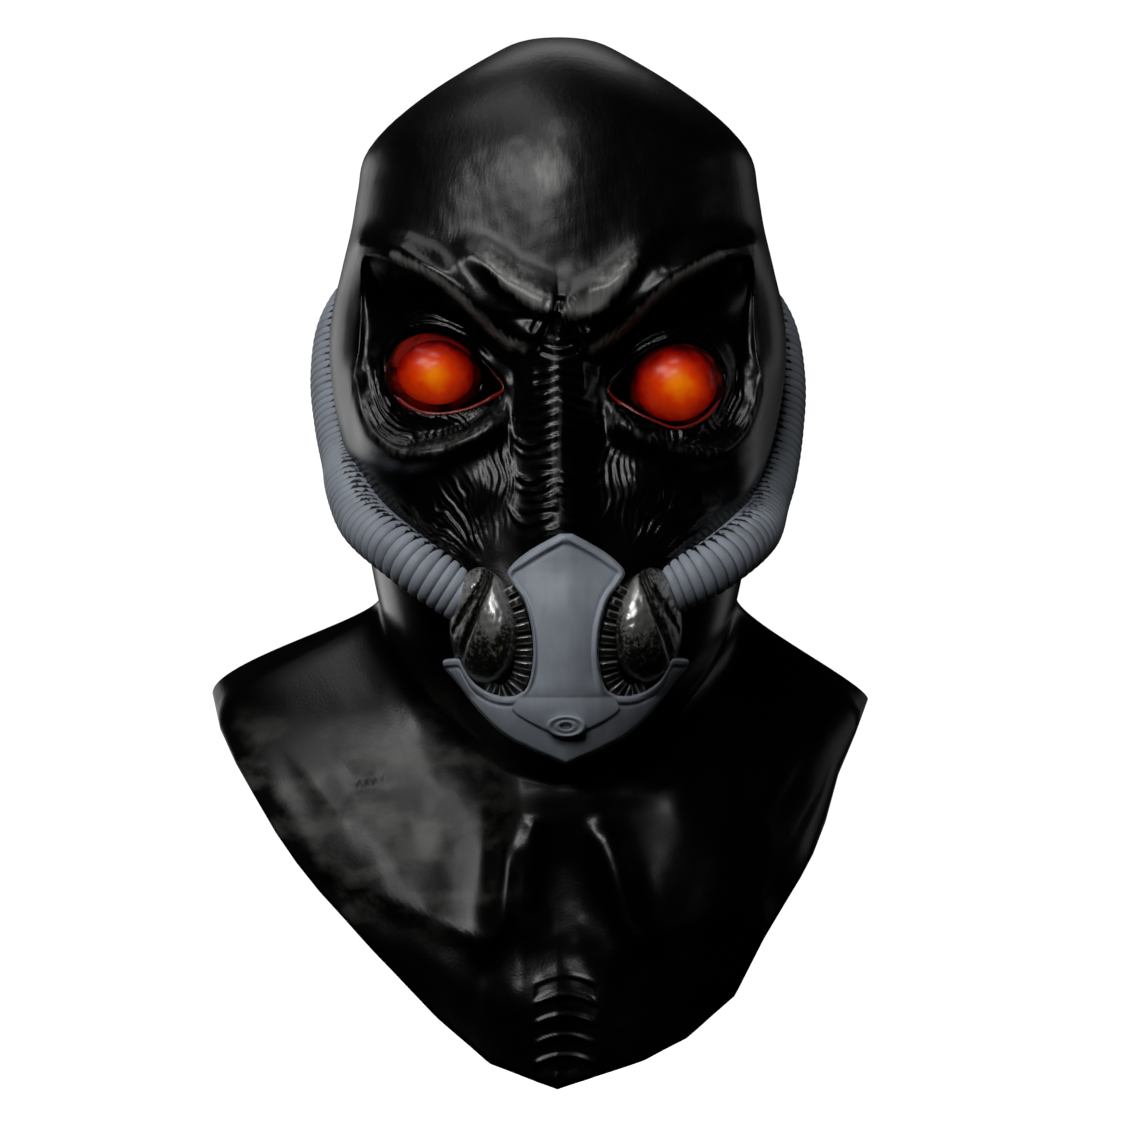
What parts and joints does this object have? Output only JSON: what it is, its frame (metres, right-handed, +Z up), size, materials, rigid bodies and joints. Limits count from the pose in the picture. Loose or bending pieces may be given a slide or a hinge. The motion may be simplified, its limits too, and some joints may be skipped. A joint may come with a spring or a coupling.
{
  "type": "alien latex mask",
  "caption": "Full-head alien mask of black latex with a chest bib, domed orange eyes, a sculpted respirator and ribbed breathing hoses round the jaw.",
  "frame": {"origin": "inside of the crown, where the wearer's head carries the mask", "axes": "+Z up along the head, +Y out of the back of the head, so the face looks along -Y; +X towards the wearer's left"},
  "size_m": [0.3117, 0.2497, 0.4921],
  "materials": {
    "black_latex": "glossy black latex",
    "glowing_eye": "orange, clear coat",
    "grey_plate": "bluish grey paint, satin",
    "dark_silver": "black with silver dry-brushed high points",
    "hose_paint": "bluish grey paint, satin"
  },
  "bodies": {
    "root": {"mask_skin": "black_latex", "right_eye": "glowing_eye", "left_eye": "glowing_eye", "centre_plate": "grey_plate", "valve_boss": "grey_plate", "jaw_guard": "grey_plate", "right_filter_pod": "dark_silver", "left_filter_pod": "dark_silver", "right_vent_comb": "dark_silver", "left_vent_comb": "dark_silver", "right_hose": "hose_paint", "left_hose": "hose_paint"}
  },
  "joints": []
}
